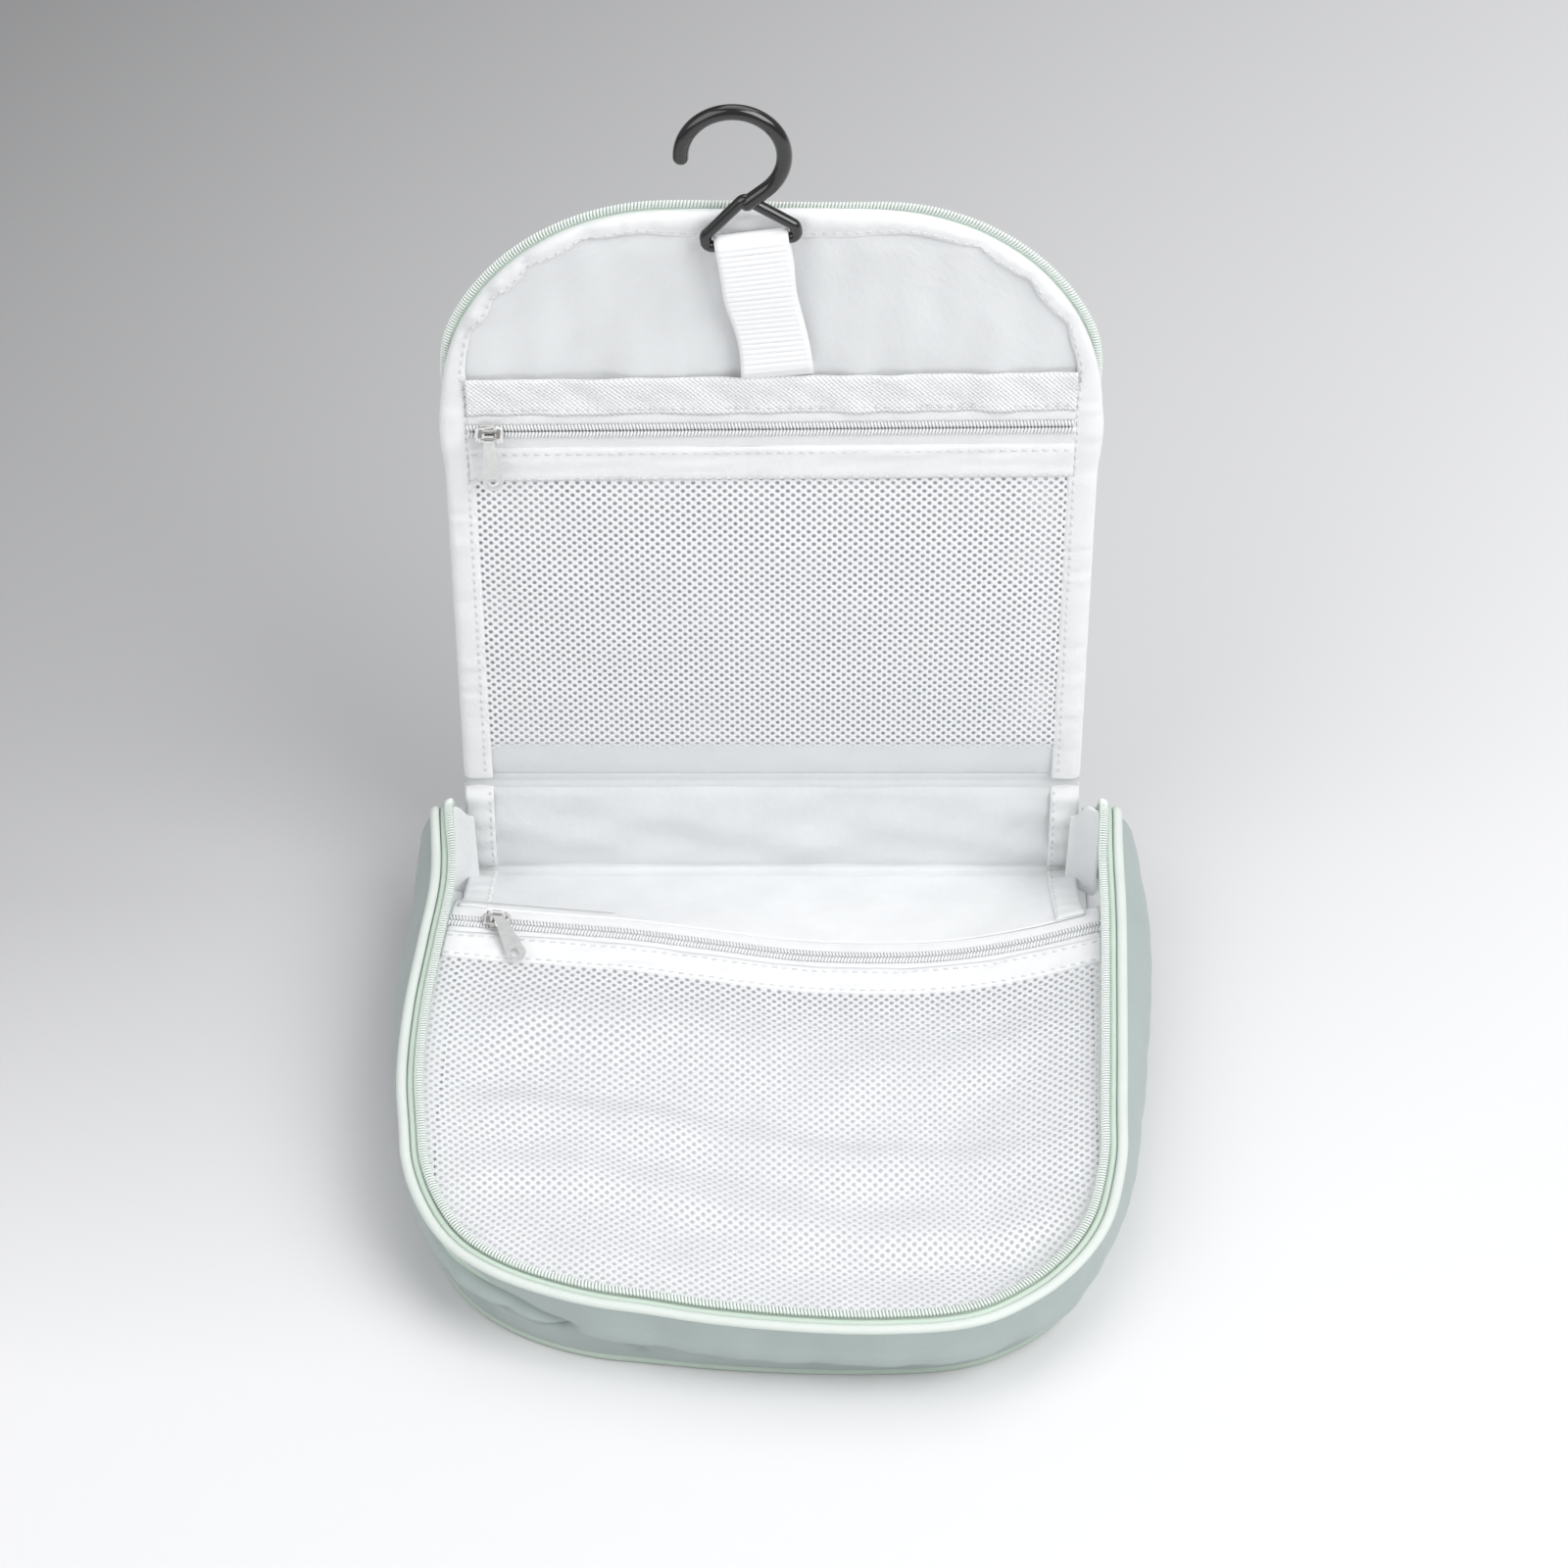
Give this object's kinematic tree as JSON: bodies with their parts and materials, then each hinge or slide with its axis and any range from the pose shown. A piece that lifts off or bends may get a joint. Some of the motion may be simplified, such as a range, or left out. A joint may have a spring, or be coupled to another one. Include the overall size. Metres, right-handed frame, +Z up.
{
  "type": "hanging toiletry bag",
  "caption": "Open hanging toiletry bag: D-shaped zip case with a net cover, a fold-up lid with a net zip pocket, and a plastic hook on a webbing loop.",
  "frame": {"origin": "on the table under the middle of the case's bounding box", "axes": "+Z up, +X to the right as seen from the front, -Y to the rounded front of the case, +Y to the spine"},
  "size_m": [0.249, 0.2522, 0.3379],
  "materials": {
    "outer_fabric": "mint green woven polyester with a soft sheen",
    "stiffener": "foamed polyethylene board, hidden between outer fabric and lining",
    "lining_fabric": "pale grey-white smooth polyester lining",
    "piping": "mint green fabric-covered piping",
    "mint_zip": "mint green nylon coil zip on woven tape",
    "white_net": "white knitted polyester net with staggered round holes",
    "white_binding": "white woven binding tape and hems with lockstitch",
    "white_zip": "white nylon coil zip on woven tape",
    "white_webbing": "white ribbed polypropylene webbing",
    "black_plastic": "glossy black moulded plastic",
    "silver_metal": "nickel-plated die-cast zinc, bright"
  },
  "bodies": {
    "case": {"base_panel": "outer_fabric", "base_board": "stiffener", "base_lining": "lining_fabric", "base_piping": "piping", "gusset_outer": "outer_fabric", "gusset_lining": "lining_fabric", "rim_piping": "piping", "rim_zip_tape": "mint_zip", "rim_zip_coil": "mint_zip", "cover_net": "white_net", "cover_hem": "white_binding", "cover_zip_tape_front": "white_zip", "cover_zip_tape_rear": "white_zip", "cover_zip_coil_front": "white_zip", "cover_zip_coil_rear": "white_zip", "rear_flap": "lining_fabric", "rear_flap_binding_left": "white_binding", "rear_flap_binding_right": "white_binding", "main_zip_end_left": "mint_zip", "main_zip_end_right": "mint_zip"},
    "spine": {"spine_outer": "outer_fabric", "spine_lining": "lining_fabric", "spine_binding_left": "white_binding", "spine_binding_right": "white_binding"},
    "lid": {"lid_outer": "outer_fabric", "lid_board": "stiffener", "lid_lining": "lining_fabric", "lid_binding": "white_binding", "lid_zip_tape": "mint_zip", "lid_zip_coil": "mint_zip", "pocket_net": "white_net", "pocket_lower_hem": "white_binding", "pocket_zip_tape_lower": "white_zip", "pocket_zip_tape_upper": "white_zip", "pocket_upper_hem": "white_binding", "pocket_zip_coil_lower": "white_zip", "pocket_zip_coil_upper": "white_zip"},
    "strap": {"hanging_strap": "white_webbing"},
    "hook": {"hook": "black_plastic"},
    "pocket_slider": {"pocket_slider": "silver_metal"},
    "pocket_puller": {"pocket_puller": "silver_metal"},
    "cover_slider": {"cover_slider": "silver_metal"},
    "cover_puller": {"cover_puller": "silver_metal"},
    "main_slider_left": {"main_slider_left": "silver_metal"},
    "main_puller_left": {"main_puller_left": "silver_metal"},
    "main_slider_right": {"main_slider_right": "silver_metal"},
    "main_puller_right": {"main_puller_right": "silver_metal"}
  },
  "joints": [
    {"name": "spine_fold", "type": "hinge", "parent": "case", "child": "spine", "pos_m": [0, 0.125, 0.0012], "axis": [1, 0, 0], "range_deg": [-90, 0]},
    {"name": "lid_fold", "type": "hinge", "parent": "spine", "child": "lid", "pos_m": [0, 0.125, 0.047], "axis": [1, 0, 0], "range_deg": [0, 90]},
    {"name": "strap_fold", "type": "hinge", "parent": "lid", "child": "strap", "pos_m": [0.0022, 0.1184, 0.2265], "axis": [0.9903, 0, 0.1392], "range_deg": [0, 174]},
    {"name": "hook_swing", "type": "hinge", "parent": "strap", "child": "hook", "pos_m": [-0.00612, 0.1172, 0.28572], "axis": [-0.9903, 0, -0.1392], "range_deg": [-125, 4]},
    {"name": "pocket_slide", "type": "slide", "parent": "lid", "child": "pocket_slider", "axis": [1, 0, 0], "range_m": [0, 0.19]},
    {"name": "pocket_puller_swing", "type": "hinge", "parent": "pocket_slider", "child": "pocket_puller", "pos_m": [-0.0954, 0.1157, 0.2065], "axis": [-1, 0, 0], "range_deg": [0, 178]},
    {"name": "cover_slide", "type": "slide", "parent": "case", "child": "cover_slider", "axis": [0.9942, 0, -0.1072], "range_m": [0, 0.053]},
    {"name": "cover_puller_swing", "type": "hinge", "parent": "cover_slider", "child": "cover_puller", "pos_m": [-0.09694, 0.061, 0.03908], "axis": [-0.9942, 0, 0.1072], "range_deg": [0, 188]},
    {"name": "main_slide_left", "type": "slide", "parent": "case", "child": "main_slider_left", "axis": [0, 0, 1], "range_m": [0, 0.01]},
    {"name": "main_puller_swing_left", "type": "hinge", "parent": "main_slider_left", "child": "main_puller_left", "pos_m": [-0.1166, 0.1228, 0.025], "axis": [1, 0, 0], "range_deg": [0, 178]},
    {"name": "main_slide_right", "type": "slide", "parent": "case", "child": "main_slider_right", "axis": [0, 0, 1], "range_m": [0, 0.01]},
    {"name": "main_puller_swing_right", "type": "hinge", "parent": "main_slider_right", "child": "main_puller_right", "pos_m": [0.1166, 0.1228, 0.025], "axis": [1, 0, 0], "range_deg": [0, 178]}
  ]
}
